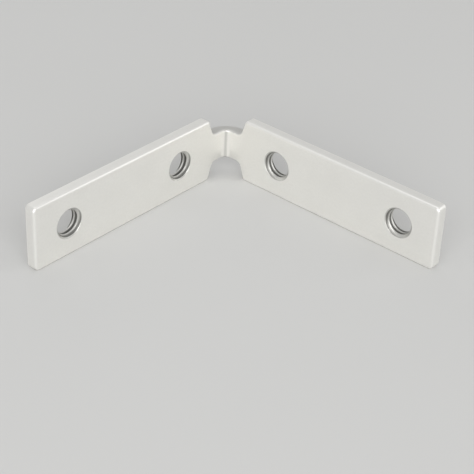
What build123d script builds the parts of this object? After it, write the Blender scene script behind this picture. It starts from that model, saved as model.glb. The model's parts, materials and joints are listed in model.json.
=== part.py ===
from build123d import *
import os

# A corner brace for the inside of a right-angled corner: one flat steel bar, punched with notches
# and four holes, folded once at its waist and tapped. It stands on its long edges, +Z up.
# The outer faces lie against the two boards, on the planes X = 0 and Y = 0. One leg runs along +X
# and the other along -Y, and the origin is where those two faces and the lower edges' level meet.

# Driving dimensions, in millimetres
leg_length = 70.0  # from the boards' corner to the end of a leg
bar_width = 17.5
bar_thickness = 3.0
outer_bend_radius = 6.5
inner_bend_radius = 2.0

neck_height = 8.3  # what is left of the width between the upper and lower notches
notch_floor_reach = 4.9  # along a leg, from the inner faces' corner to the end of the notch's floor
notch_mouth_reach = 6.4  # the same, to the notch's mouth at the bar's edge
notch_corner_radius = 1.8
shoulder_radius = 0.8
end_corner_radius = 1.2

near_hole = 20.5  # from the boards' corner to a hole's axis
far_hole = 59.0
thread_minor_radius = 6.647 / 2  # an M8 coarse thread at its crests
inner_mouth_chamfer = 0.7
outer_mouth_chamfer = 0.2

inner_edge_radius = 0.6  # the punch rolls the edges on the side where it enters
outer_edge_radius = 0.2

overrun = 1.0  # how far a cutting shape passes beyond the faces that it cuts
same_place = 1e-3  # two coordinates closer than this are one

fold_plane = Plane(origin=(0, 0, 0), z_dir=(1, 1, 0))  # each leg is the other's image in it
into_corner = Vector(-1, 1, 0)  # from inside the angle towards the boards' corner


def folded_bar():
    """The bar with its fold, at its full width: its section from above, drawn upwards."""
    outline = Polyline(
        (0, 0),
        (leg_length, 0),
        (leg_length, -bar_thickness),
        (bar_thickness, -bar_thickness),
        (bar_thickness, -leg_length),
        (0, -leg_length),
        close=True,
    )
    section = make_face(outline)
    outer_corner = section.vertices().sort_by_distance((0, 0))[0]
    section = fillet(outer_corner, outer_bend_radius)
    inner_corner = section.vertices().sort_by_distance((bar_thickness, -bar_thickness))[0]
    section = fillet(inner_corner, inner_bend_radius)
    return extrude(section, bar_width)


def punched_leg():
    """All that the punch leaves of the +X leg: its outline square to its face, drawn through it."""
    neck_low = (bar_width - neck_height) / 2
    neck_high = bar_width - neck_low
    floor_end = bar_thickness + notch_floor_reach
    mouth_end = bar_thickness + notch_mouth_reach
    outline = Polyline(
        (-overrun, neck_low),
        (floor_end, neck_low),
        (mouth_end, 0),
        (leg_length, 0),
        (leg_length, bar_width),
        (mouth_end, bar_width),
        (floor_end, neck_high),
        (-overrun, neck_high),
        close=True,
    )
    face = make_face(outline)
    for reach, radius in (
        (floor_end, notch_corner_radius),
        (mouth_end, shoulder_radius),
        (leg_length, end_corner_radius),
    ):
        corners = [corner for corner in face.vertices() if abs(corner.X - reach) < same_place]
        face = fillet(corners, radius)
    return extrude(Plane.XZ.offset(-overrun) * face, bar_thickness + 2 * overrun)


def upright_faces(brace):
    """The faces that lie against the boards, and those on the inside of the angle."""
    outer, inner = [], []
    for face in brace.faces():
        normal, centre = face.normal_at(), face.center()
        from_boards = min(centre.X, -centre.Y)
        if abs(normal.Z) > same_place:
            continue
        if normal.dot(into_corner) > 0:
            outer.append(face)
        elif from_boards > bar_thickness - same_place:
            inner.append(face)
    return outer, inner


def rim(faces):
    """The edges round a run of faces, without the seams between them."""
    edges = [edge for face in faces for edge in face.edges()]
    return [edge for edge in edges if sum(edge.is_same(other) for other in edges) == 1]


def soften(brace):
    """The brace with its edges rounded, more on the inside of the angle than on the outside."""
    outer, inner = upright_faces(brace)
    brace = fillet(rim(outer), outer_edge_radius)
    outer, inner = upright_faces(brace)
    return fillet(rim(inner), inner_edge_radius)


def bore():
    """What drill and countersink remove: turned about +Z, with the outer face at Z = 0."""
    outer_mouth = thread_minor_radius + outer_mouth_chamfer
    inner_mouth = thread_minor_radius + inner_mouth_chamfer
    half_section = Polyline(
        (0, overrun),
        (outer_mouth + overrun, overrun),
        (thread_minor_radius, -outer_mouth_chamfer),
        (thread_minor_radius, inner_mouth_chamfer - bar_thickness),
        (inner_mouth + overrun, -bar_thickness - overrun),
        (0, -bar_thickness - overrun),
        close=True,
    )
    return revolve(Plane.XZ * make_face(half_section), Axis.Z)


def hole_places():
    """The holes' mouths on the outer faces, each with its own +Z out towards the board."""
    mid_height = bar_width / 2
    for reach in (near_hole, far_hole):
        yield Plane(origin=(reach, 0, mid_height), z_dir=(0, 1, 0))
        yield Plane(origin=(0, -reach, mid_height), z_dir=(-1, 0, 0))


def corner_brace():
    """The whole brace: folded, punched, softened and bored."""
    leg = punched_leg()
    brace = folded_bar() & (leg + mirror(leg, about=fold_plane))
    brace = soften(brace)
    for place in hole_places():
        brace -= place * bore()
    return brace


os.makedirs("parts", exist_ok=True)
export_step(corner_brace(), "parts/corner_brace.step")
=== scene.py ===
import json
import math

import bmesh
import bpy
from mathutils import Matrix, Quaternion, Vector


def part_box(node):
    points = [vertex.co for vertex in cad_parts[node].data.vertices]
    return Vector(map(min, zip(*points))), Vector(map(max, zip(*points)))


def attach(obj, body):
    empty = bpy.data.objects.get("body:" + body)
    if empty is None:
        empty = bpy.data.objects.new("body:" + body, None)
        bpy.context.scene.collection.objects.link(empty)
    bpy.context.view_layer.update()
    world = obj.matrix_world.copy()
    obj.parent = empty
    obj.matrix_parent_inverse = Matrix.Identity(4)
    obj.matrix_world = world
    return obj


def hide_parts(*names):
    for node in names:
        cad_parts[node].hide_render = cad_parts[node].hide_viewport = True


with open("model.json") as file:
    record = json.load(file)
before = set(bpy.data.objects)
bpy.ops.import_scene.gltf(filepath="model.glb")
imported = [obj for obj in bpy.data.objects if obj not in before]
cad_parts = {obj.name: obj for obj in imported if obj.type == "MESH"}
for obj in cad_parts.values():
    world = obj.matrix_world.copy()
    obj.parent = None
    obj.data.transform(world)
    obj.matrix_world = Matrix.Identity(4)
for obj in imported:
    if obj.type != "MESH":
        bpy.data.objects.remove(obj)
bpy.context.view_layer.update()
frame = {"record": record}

brace_low, brace_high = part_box("corner_brace")

# The scene is in metres, and the small sizes of the brace are given in millimetres
mm = 0.001
up = Vector((0, 0, 1))

# The brace's form: its bends, notches and edges are those of its solid
leg_length = brace_high.x
bar_width = brace_high.z
bar_thickness = 3.0 * mm
outer_bend_radius = 6.5 * mm
inner_bend_radius = 2.0 * mm
neck_height = 8.3 * mm
notch_floor_reach = 4.9 * mm
notch_mouth_reach = 6.4 * mm
notch_corner_radius = 1.8 * mm
shoulder_radius = 0.8 * mm
end_corner_radius = 1.2 * mm
inner_edge_radius = 0.6 * mm
outer_edge_radius = 0.2 * mm
inner_mouth_chamfer = 0.7 * mm
outer_mouth_chamfer = 0.2 * mm

# The neck's lower and upper edges, and how far the notches reach from the boards' corner
neck_low = (bar_width - neck_height) / 2
neck_high = bar_width - neck_low
floor_end = bar_thickness + notch_floor_reach
mouth_end = bar_thickness + notch_mouth_reach

# The threads: M8 coarse, right-handed, with crests at the radius of the solid's bores
thread_pitch = 1.25 * mm
thread_major_radius = 4.0 * mm
root_flat = thread_pitch / 8
flank_slope = math.tan(math.radians(60))
corner_break = 0.03 * mm  # half the width of the break where a flank meets a root or a crest

# How deep from the inner face a root lies straight above a bore's axis, on each leg
x_thread_start = 0.68 * mm
y_thread_start = 1.12 * mm

# A shallow line down the inside of the fold, where the press struck it
press_line_width = 1.0 * mm
press_line_depth = 0.08 * mm

# Painted shade: how much darker the plating is painted where shade falls, from 0 for its plain colour
# to 1 for the darkest
bore_shade = 0.36  # on a bore's wall and mouths, outside the thread's grooves
shaded_depth = 0.25 * mm  # where a groove is this deep its painted shade is at its darkest
press_line_shade = 0.4
neck_edge_shade = 0.42
neck_shade_fade = 1.5 * mm  # how far up the notches' sides the neck's shade goes

# How much the plating is rubbed bright, from 0 for not at all to 1
edge_wear = 0.5  # where an edge's rounding begins and ends, and twice that at its middle
mouth_wear = 0.3  # round the mouths of the bores
worn_reach = 0.15 * mm  # how far into the flat faces it fades out

# How finely the mesh follows the form
corner_steps = 8
edge_steps = 6
fold_steps = 8
press_line_steps = 6
fold_rows = 6
wall_rows = 3
run_spacing = 2.5 * mm
thread_columns = 128
flank_steps = 6
crest_steps = 5
sharp_angle = math.radians(40)
same_place = 0.001 * mm  # a point closer than this to a flat face lies in it

# The plating: its colours, how metallic and how rough it is, and its fine relief
plate_colour = (0.87, 0.862, 0.826)
plate_cloud_colour = (0.90, 0.892, 0.856)
plate_mottle_colour = (0.84, 0.832, 0.80)
rubbed_colour = (0.94, 0.93, 0.90)
# the colour that the painted shade darkens the plating towards
painted_shade_colour = (0.12, 0.12, 0.11)
plate_metallic = 0.7
satin_roughness = (0.36, 0.44)  # across the mottle
grain_roughness = (-0.03, 0.03)  # what the grain adds to it
rubbed_smoothing = 0.1
# how much rougher the plating is where shade is painted
shade_roughening = 0.05
grain_depth = 0.002 * mm
pit_depth = 0.0015 * mm
noise_span = (0.3, 0.7)  # nearly all of a noise's values lie in this range

# The floor and the light from all round
floor_reach = 3.0
floor_colour = (0.62, 0.62, 0.61)
floor_cloud_colour = (0.65, 0.65, 0.64)
sky_strength = 0.54

# The photograph's viewpoint, with the lens and the sensor in millimetres
camera_place = Vector((216.4, -253.2, 192.4)) * mm
camera_aim = Vector((18.8, -15.4, -8.0)) * mm
camera_roll = math.radians(2.75)
camera_lens = 108.3
camera_sensor = 36.0
camera_near = 0.01


class Leg:
    """One leg of the angle, with its own directions: along it, and outwards to its board."""

    def __init__(self, along, outward, side, thread_start):
        self.along = Vector(along)
        self.outward = Vector(outward)
        self.side = side
        self.thread_start = thread_start

    def place(self, reach, height, depth):
        """A point by its reach from the boards' corner, its height and its depth in the bar."""
        return self.along * reach + self.outward * (depth - bar_thickness) + up * height

    def unfolded(self, reach, height, depth):
        """The same point on the flat bar, in millimetres, with the other leg on the minus side."""
        return Vector((self.side * reach, height, depth)) / mm


x_leg = Leg((1, 0, 0), (0, 1, 0), 1, x_thread_start)
y_leg = Leg((0, -1, 0), (-1, 0, 0), -1, y_thread_start)


class Shell:
    """A mesh in the making, whose points also carry their place on the flat bar."""

    def __init__(self):
        self.bm = bmesh.new()
        self.unfolded = self.bm.verts.layers.float_vector.new("unfolded")
        self.wear = self.bm.verts.layers.float.new("wear")
        # how much shade is painted at each point
        self.painted_shade = self.bm.verts.layers.float.new("painted_shade")

    def point(self, place, unfolded, wear=0.0, painted_shade=0.0):
        vertex = self.bm.verts.new(place)
        vertex[self.unfolded] = unfolded
        vertex[self.wear] = wear
        vertex[self.painted_shade] = painted_shade
        return vertex

    def face(self, *corners):
        """A face on these points, without those that repeat."""
        different = list(dict.fromkeys(corners))
        if len(different) > 2:
            self.bm.faces.new(different)

    def strip(self, row, next_row):
        """Faces between two rows of as many points."""
        for near, far, next_far, next_near in zip(row, row[1:], next_row[1:], next_row):
            self.face(near, far, next_far, next_near)

    def fill(self, on_face):
        """Closes the open outline in one flat face, round the holes in it."""
        edges = [
            edge
            for edge in self.bm.edges
            if len(edge.link_faces) < 2 and all(on_face(vertex.co) for vertex in edge.verts)
        ]
        bmesh.ops.triangle_fill(self.bm, edges=edges, use_beauty=True)


def steps_between(start, end, count):
    """Evenly spaced values from start to end, both ends included."""
    return [start + (end - start) * step / count for step in range(count + 1)]


def rim_section():
    """The section of the bar's rim: how far in from its outline, how deep and how worn."""
    quarter = steps_between(0, math.pi / 2, edge_steps)
    section = [(inner_edge_radius + worn_reach, 0, 0)]
    for turn in quarter:
        inset = inner_edge_radius * (1 - math.sin(turn))
        depth = inner_edge_radius * (1 - math.cos(turn))
        section.append((inset, depth, edge_wear * (1 + math.sin(2 * turn))))
    wall_end = bar_thickness - outer_edge_radius
    for depth in steps_between(inner_edge_radius, wall_end, wall_rows)[1:-1]:
        section.append((0, depth, 0))
    for turn in quarter:
        inset = outer_edge_radius * (1 - math.cos(turn))
        depth = wall_end + outer_edge_radius * math.sin(turn)
        section.append((inset, depth, edge_wear * (1 + math.sin(2 * turn))))
    section.append((outer_edge_radius + worn_reach, bar_thickness, 0))
    return section


def leg_outline():
    """A leg's outline from the neck's top to its foot: reach, height and the way out of the bar."""
    corners = [
        (0, neck_high, 0),
        (floor_end, neck_high, notch_corner_radius),
        (mouth_end, bar_width, shoulder_radius),
        (leg_length, bar_width, end_corner_radius),
        (leg_length, 0, end_corner_radius),
        (mouth_end, 0, shoulder_radius),
        (floor_end, neck_low, notch_corner_radius),
        (0, neck_low, 0),
    ]
    outline = []
    for before, corner, after in zip(corners, corners[1:], corners[2:]):
        rounded = rounded_corner(Vector(before[:2]), Vector(corner[:2]), Vector(after[:2]), corner[2])
        if outline:
            outline.extend(straight_run(outline[-1], rounded[0]))
        outline.extend(rounded)
    return outline


def rounded_corner(before, corner, after, radius):
    """Points round one corner of an outline that runs clockwise, each with its way out."""
    arriving = (corner - before).normalized()
    leaving = (after - corner).normalized()
    turn = math.atan2(arriving.cross(leaving), arriving.dot(leaving))
    hollow = 1 if turn > 0 else -1
    way_out = Vector((-arriving.y, arriving.x))
    start = corner - arriving * radius * math.tan(abs(turn) / 2)
    centre = start + way_out * radius * hollow
    points = []
    for angle in steps_between(0, turn, corner_steps):
        normal = Vector(
            (
                way_out.x * math.cos(angle) - way_out.y * math.sin(angle),
                way_out.x * math.sin(angle) + way_out.y * math.cos(angle),
            )
        )
        points.append((centre - normal * radius * hollow, normal))
    return points


def straight_run(start, end):
    """Points between two corners of an outline, as far apart as the mesh needs."""
    length = (end[0] - start[0]).length
    count = max(1, round(length / run_spacing))
    return [(start[0].lerp(end[0], step / count), start[1]) for step in range(1, count)]


def neck_shade(rise, inset):
    """How much shade is painted on the punched edge: most on the neck itself, and less up the
    notches' sides.
    """
    up_the_side = max(0, 1 - rise / neck_shade_fade)
    round_the_edge = max(0, 1 - inset / inner_edge_radius)
    return neck_edge_shade * up_the_side * round_the_edge


def leg_columns(shell, leg):
    """The rim of one leg, as columns of points through the bar's thickness."""
    columns = []
    for place, way_out in leg_outline():
        column = []
        rise = abs(place.y - bar_width / 2) - neck_height / 2
        for inset, depth, wear in rim_section():
            reach, height = place - way_out * inset
            corner = (reach, height, depth)
            # painted shade on the punched edge, deep in the notches
            painted_shade = neck_shade(rise, inset) if place.x < mouth_end else 0.0
            column.append(shell.point(leg.place(*corner), leg.unfolded(*corner), wear, painted_shade))
        columns.append(column)
    return columns


def fold_turns():
    """The angles round the fold where its mesh has points, closer together at the press line."""
    middle = math.pi / 4
    line_edge = press_line_width / 2 / inner_bend_radius
    before = steps_between(0, middle - line_edge, fold_steps)
    inside = steps_between(middle - line_edge, middle + line_edge, press_line_steps)
    after = steps_between(middle + line_edge, math.pi / 2, fold_steps)
    return before + inside[1:-1] + after


def press_line(turn, depth):
    """How far into the press line a point of the fold lies: 1 at its floor, 0 outside it."""
    across = abs(turn - math.pi / 4) * inner_bend_radius / (press_line_width / 2)
    return max(0, 1 - across**2) * max(0, 1 - depth / inner_edge_radius)


def fold_point(turn, depth):
    """A point of the fold's section, seen from above, and its reach on the flat bar."""
    across = Vector((-math.sin(turn), math.cos(turn), 0))
    diagonal = Vector((1, -1, 0))
    inner_end = bar_thickness + inner_bend_radius
    inner_centre = diagonal * inner_end
    outer_centre = diagonal * outer_bend_radius
    flat_start, flat_end = inner_edge_radius, bar_thickness - outer_edge_radius
    share = min(1, max(0, (depth - flat_start) / (flat_end - flat_start)))
    pressed = press_line_depth * press_line(turn, depth)
    near = inner_centre + across * (inner_bend_radius + min(depth, flat_start) + pressed)
    far = outer_centre + across * (outer_bend_radius - bar_thickness + max(depth, flat_end))
    reach = inner_end + (outer_bend_radius - inner_end) * depth / bar_thickness
    return near.lerp(far, share), reach * (1 - 4 * turn / math.pi)


def fold_columns(shell, edge_height, way_out):
    """The rim of the neck's top or foot round the fold, from the X leg to the Y leg."""
    columns = []
    for turn in fold_turns():
        column = []
        for inset, depth, wear in rim_section():
            place, reach = fold_point(turn, depth)
            height = edge_height - way_out * inset
            unfolded = Vector((reach, height, depth)) / mm
            # painted shade along the press line and on the neck's edge
            painted_shade = press_line_shade * press_line(turn, depth) + neck_shade(0, inset)
            column.append(shell.point(place + up * height, unfolded, wear, painted_shade))
        columns.append(column)
    return columns


def fold_skin(shell, top, foot):
    """The upright face of the fold between two rows of points, one above the other."""
    columns = []
    for high, low in zip(top, foot):
        column = [high]
        for row in range(1, fold_rows):
            share = row / fold_rows
            place = high.co.lerp(low.co, share)
            unfolded = high[shell.unfolded].lerp(low[shell.unfolded], share)
            # the painted shade of the press line carries down the fold's face
            column.append(shell.point(place, unfolded, painted_shade=high[shell.painted_shade]))
        column.append(low)
        columns.append(column)
    for column, next_column in zip(columns, columns[1:]):
        shell.strip(column, next_column)


def bar_rim(shell):
    """The rim of the whole bar, and the two upright faces of its fold."""
    x_rim = leg_columns(shell, x_leg)
    y_rim = leg_columns(shell, y_leg)
    fold_top = fold_columns(shell, neck_high, 1)
    fold_foot = fold_columns(shell, neck_low, -1)
    loop = x_rim + fold_foot + y_rim[::-1] + fold_top[::-1]
    for column, next_column in zip(loop, loop[1:] + loop[:1]):
        shell.strip(column, next_column)
    for end in (0, -1):
        fold_skin(shell, [column[end] for column in fold_top], [column[end] for column in fold_foot])


def thread_radius(along):
    """The thread's radius at a distance along the axis, with a root's middle at 0."""
    from_root = abs((along / thread_pitch + 0.5) % 1 - 0.5) * thread_pitch
    return thread_major_radius - max(0, from_root - root_flat / 2) * flank_slope


def thread_stations(crest_radius):
    """Where one turn of the thread has its points: offsets from a root's middle over one pitch."""
    flank_start = root_flat / 2
    flank_end = flank_start + (thread_major_radius - crest_radius) / flank_slope
    half = [0, flank_start - corner_break]
    half += steps_between(flank_start + corner_break, flank_end - corner_break, flank_steps)
    half += steps_between(flank_end + corner_break, thread_pitch / 2, crest_steps)
    return half + [thread_pitch - offset for offset in reversed(half[1:-1])]


class Bore:
    """One tapped hole, with its leg, its place there and its radius at the thread's crests."""

    def __init__(self, leg, mount):
        self.leg = leg
        self.reach = Vector(mount["pos_m"]).dot(leg.along)
        self.height = mount["pos_m"][2]
        self.crest_radius = mount["dims"]["r_mm"] * mm
        self.across = leg.outward.cross(up).dot(leg.along)

    def plain_radius(self, depth):
        """Its radius without the thread, at a depth from the inner face."""
        inner_mouth = self.crest_radius + inner_mouth_chamfer
        outer_mouth = self.crest_radius + outer_mouth_chamfer
        return max(self.crest_radius, inner_mouth - depth, outer_mouth - bar_thickness + depth)

    def point(self, shell, turn, radius, depth, wear=0.0, painted_shade=0.0):
        """A point by its angle from straight up, its distance from the axis and its depth."""
        corner = (
            self.reach + math.sin(turn) * self.across * radius,
            self.height + math.cos(turn) * radius,
            depth,
        )
        return shell.point(self.leg.place(*corner), self.leg.unfolded(*corner), wear, painted_shade)


def wall_column(shell, bore, stations, turn, advance):
    """One column of points down a tapped wall, and those of them at its two mouths."""
    column, mouths = [], {}
    for station in stations:
        depth = min(bar_thickness, max(0, station + advance))
        if depth in mouths:
            column.append(mouths[depth])
            continue
        plain = bore.plain_radius(depth)
        radius = max(plain, thread_radius(depth - advance))
        # painted shade on the bore's wall, darkest deep in the thread's grooves
        groove = min(1, (radius - plain) / shaded_depth)
        painted_shade = bore_shade + (1 - bore_shade) * groove
        at_mouth = depth in (0, bar_thickness)
        wear = mouth_wear if at_mouth else 0.0
        vertex = bore.point(shell, turn, radius, depth, wear, painted_shade)
        if at_mouth:
            mouths[depth] = vertex
        column.append(vertex)
    return column, mouths


def threaded_bore(shell, bore):
    """The wall of one tapped hole, with its two countersunk mouths and a ring of face round each."""
    one_turn = thread_stations(bore.crest_radius)
    # The columns' threads start up to two turns deep, so the stations begin two turns before
    turns = range(-2, math.ceil(bar_thickness / thread_pitch) + 1)
    stations = [turn * thread_pitch + station for turn in turns for station in one_turn]
    wall = []
    for number in range(thread_columns):
        turn = 2 * math.pi * number / thread_columns
        advance = bore.leg.thread_start + thread_pitch * number / thread_columns
        wall.append(wall_column(shell, bore, stations, turn, advance))
    columns, mouths = zip(*wall)

    for column, next_column in zip(columns, columns[1:]):
        shell.strip(column, next_column)
    # All round the bore the thread gains one pitch, so the last column meets the first a turn on
    shell.strip(columns[-1][: -len(one_turn)], columns[0][len(one_turn) :])

    for depth in (0, bar_thickness):
        ring = []
        for number in range(thread_columns):
            turn = 2 * math.pi * number / thread_columns
            ring.append(bore.point(shell, turn, thread_major_radius + worn_reach, depth))
        mouth = [ends[depth] for ends in mouths]
        shell.strip(mouth + mouth[:1], ring + ring[:1])


def leg_faces(shell, leg):
    """The tapped holes of one leg, and its inner and outer faces round them."""
    for mount in frame["record"]["mounts"]:
        if mount["kind"] == "threaded_hole" and Vector(mount["axis"]).dot(leg.outward) > 0.5:
            threaded_bore(shell, Bore(leg, mount))
    for depth in (0, bar_thickness):
        level = depth - bar_thickness
        shell.fill(lambda place: abs(place.dot(leg.outward) - level) < same_place)


def brace_mesh():
    """The whole folded bar with its four tapped holes, as one closed mesh."""
    shell = Shell()
    bar_rim(shell)
    for leg in (x_leg, y_leg):
        leg_faces(shell, leg)
    bmesh.ops.recalc_face_normals(shell.bm, faces=shell.bm.faces)
    mesh = bpy.data.meshes.new("brace")
    shell.bm.to_mesh(mesh)
    shell.bm.free()
    mesh.shade_smooth()
    mesh.set_sharp_from_angle(angle=sharp_angle)
    return mesh


def new_material(name):
    """A material with its node tree and its shader."""
    material = bpy.data.materials.new(name)
    material.use_nodes = True
    tree = material.node_tree
    return material, tree, tree.nodes["Principled BSDF"]


def link(tree, source, target):
    tree.links.new(source, target)


def attribute(tree, name, output):
    """A value that the mesh's points carry."""
    node = tree.nodes.new("ShaderNodeAttribute")
    node.attribute_name = name
    return node.outputs[output]


def stretched(tree, vector, scale):
    """The vector with each of its axes scaled."""
    node = tree.nodes.new("ShaderNodeVectorMath")
    node.operation = "MULTIPLY"
    node.inputs[1].default_value = scale
    link(tree, vector, node.inputs[0])
    return node.outputs["Vector"]


def noise(tree, vector, scale, detail):
    node = tree.nodes.new("ShaderNodeTexNoise")
    node.inputs["Scale"].default_value = scale
    node.inputs["Detail"].default_value = detail
    link(tree, vector, node.inputs["Vector"])
    return node.outputs["Fac"]


def ranged(tree, value, span, new_span):
    """The value taken from one range to another."""
    node = tree.nodes.new("ShaderNodeMapRange")
    names = ("From Min", "From Max", "To Min", "To Max")
    for name, number in zip(names, (*span, *new_span)):
        node.inputs[name].default_value = number
    link(tree, value, node.inputs["Value"])
    return node.outputs["Result"]


def combined(tree, operation, first, second):
    """Two values put together; the second may be a plain number."""
    node = tree.nodes.new("ShaderNodeMath")
    node.operation = operation
    link(tree, first, node.inputs[0])
    if isinstance(second, float):
        node.inputs[1].default_value = second
    else:
        link(tree, second, node.inputs[1])
    return node.outputs["Value"]


def mixed_colour(tree, share, first, second):
    """Two colours mixed by a share; each is a plain colour or another node's output."""
    node = tree.nodes.new("ShaderNodeMix")
    node.data_type = "RGBA"
    link(tree, share, node.inputs["Factor"])
    for colour, socket in ((first, node.inputs[6]), (second, node.inputs[7])):
        if isinstance(colour, tuple):
            socket.default_value = (*colour, 1)
        else:
            link(tree, colour, socket)
    return node.outputs[2]


def bumped(tree, height, depth, below=None):
    """A bump of the given depth in metres, laid over another one."""
    node = tree.nodes.new("ShaderNodeBump")
    node.inputs["Distance"].default_value = depth
    link(tree, height, node.inputs["Height"])
    if below:
        link(tree, below, node.inputs["Normal"])
    return node.outputs["Normal"]


def plating_colour(tree, cloud, mottle, rubbed, painted_shade):
    """Pale and faintly cloudy, lighter where it is rubbed, and darkened towards the shade colour
    where shade is painted.
    """
    clouded = ranged(tree, cloud, noise_span, (0, 1))
    mottled = ranged(tree, mottle, (0.35, 0.7), (0, 0.5))
    # how far the painted shade darkens the plating
    shade_share = ranged(tree, painted_shade, (0, 1), (0, 0.9))
    plate = mixed_colour(tree, clouded, plate_colour, plate_cloud_colour)
    plate = mixed_colour(tree, mottled, plate, plate_mottle_colour)
    plate = mixed_colour(tree, rubbed, plate, rubbed_colour)
    return mixed_colour(tree, shade_share, plate, painted_shade_colour)


def plating_roughness(tree, mottle, grain, rubbed, painted_shade):
    """Satin, a little smoother where it is rubbed and a little rougher where shade is painted."""
    satin = ranged(tree, mottle, noise_span, satin_roughness)
    grained = ranged(tree, grain, noise_span, grain_roughness)
    rough = combined(tree, "ADD", satin, grained)
    rough = combined(tree, "SUBTRACT", rough, combined(tree, "MULTIPLY", rubbed, rubbed_smoothing))
    return combined(tree, "ADD", rough, combined(tree, "MULTIPLY", painted_shade, shade_roughening))


def plated_steel():
    """Satin nickel on rolled steel: cloudy, finely grained along the bar, brighter on its edges."""
    material, tree, shader = new_material("satin_plated_steel")
    shader.inputs["Metallic"].default_value = plate_metallic

    on_bar = attribute(tree, "unfolded", "Vector")
    wear = attribute(tree, "wear", "Fac")
    # where shade is painted into the plating's colour
    painted_shade = attribute(tree, "painted_shade", "Fac")
    cloud = noise(tree, on_bar, scale=0.12, detail=3)
    mottle = noise(tree, on_bar, scale=1.6, detail=4)
    grain = noise(tree, stretched(tree, on_bar, (0.35, 5.0, 5.0)), scale=1.0, detail=4)
    pits = noise(tree, on_bar, scale=6.0, detail=2)

    rubbed = combined(tree, "MULTIPLY", wear, ranged(tree, mottle, noise_span, (0.5, 1.0)))
    colour = plating_colour(tree, cloud, mottle, rubbed, painted_shade)
    link(tree, colour, shader.inputs["Base Color"])
    rough = plating_roughness(tree, mottle, grain, rubbed, painted_shade)
    link(tree, rough, shader.inputs["Roughness"])

    normal = bumped(tree, grain, grain_depth)
    normal = bumped(tree, pits, pit_depth, normal)
    link(tree, normal, shader.inputs["Normal"])
    return material


def floor_paint():
    """Pale, matt and a little uneven."""
    material, tree, shader = new_material("pale_floor")
    shader.inputs["Roughness"].default_value = 0.9
    shader.inputs["Specular IOR Level"].default_value = 0.2
    where = tree.nodes.new("ShaderNodeTexCoord").outputs["Object"]
    cloud = noise(tree, where, scale=6.0, detail=3)
    paint = mixed_colour(tree, cloud, floor_colour, floor_cloud_colour)
    link(tree, paint, shader.inputs["Base Color"])
    return material


def brace():
    """The brace with its cut threads, in place of the plain solid."""
    piece = bpy.data.objects.new("threaded_corner_brace", brace_mesh())
    bpy.context.collection.objects.link(piece)
    piece.data.materials.append(plated_steel())
    evened = piece.modifiers.new("even_shading", "WEIGHTED_NORMAL")
    evened.weight = 100
    evened.keep_sharp = True
    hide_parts("corner_brace")
    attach(piece, "root")


def floor():
    """A wide floor under the brace's lower edges."""
    mesh = bpy.data.meshes.new("floor")
    quarters = ((-1, -1), (1, -1), (1, 1), (-1, 1))
    corners = [(x * floor_reach, y * floor_reach, 0) for x, y in quarters]
    mesh.from_pydata(corners, [], [(0, 1, 2, 3)])
    ground = bpy.data.objects.new("floor", mesh)
    ground.location = (brace_high.x / 2, -brace_high.x / 2, brace_low.z)
    bpy.context.collection.objects.link(ground)
    mesh.materials.append(floor_paint())


def softbox(name, direction, distance, size, power):
    """A square lamp that faces the brace's middle from a distance."""
    middle = (brace_low + brace_high) / 2
    towards = Vector(direction).normalized()
    lamp = bpy.data.lights.new(name, "AREA")
    lamp.size = size
    lamp.energy = power
    holder = bpy.data.objects.new(name, lamp)
    holder.location = middle + towards * distance
    holder.rotation_mode = "QUATERNION"
    holder.rotation_quaternion = towards.to_track_quat("Z", "Y")
    bpy.context.collection.objects.link(holder)


def studio_light():
    """Even light from all round, with a wide soft lamp low in front and weak ones about it."""
    world = bpy.data.worlds.new("studio")
    world.use_nodes = True
    background = world.node_tree.nodes["Background"]
    background.inputs["Color"].default_value = (1, 1, 1, 1)
    background.inputs["Strength"].default_value = sky_strength
    bpy.context.scene.world = world
    softbox("front_lamp", (0.62, -0.72, 0.25), distance=1.2, size=1.6, power=20.0)
    softbox("top_lamp", (-0.2, 0.1, 1.0), distance=0.9, size=0.8, power=1.0)
    softbox("back_lamp", (0.62, 0.65, 0.42), distance=0.9, size=0.5, power=0.7)
    softbox("side_lamp", (-0.8, 0.4, 0.5), distance=0.9, size=0.4, power=0.2)


def photograph_camera():
    """The camera where the photograph was taken from."""
    lens = bpy.data.cameras.new("photograph_view")
    lens.lens = camera_lens
    lens.sensor_width = camera_sensor
    lens.clip_start = camera_near
    camera = bpy.data.objects.new("photograph_view", lens)
    camera.location = camera_place
    camera.rotation_mode = "QUATERNION"
    level = (camera_aim - camera_place).to_track_quat("-Z", "Y")
    camera.rotation_quaternion = level @ Quaternion((0, 0, 1), camera_roll)
    bpy.context.collection.objects.link(camera)
    bpy.context.scene.camera = camera


photograph_camera()
brace()
floor()
studio_light()
bpy.context.scene.view_settings.view_transform = "Standard"
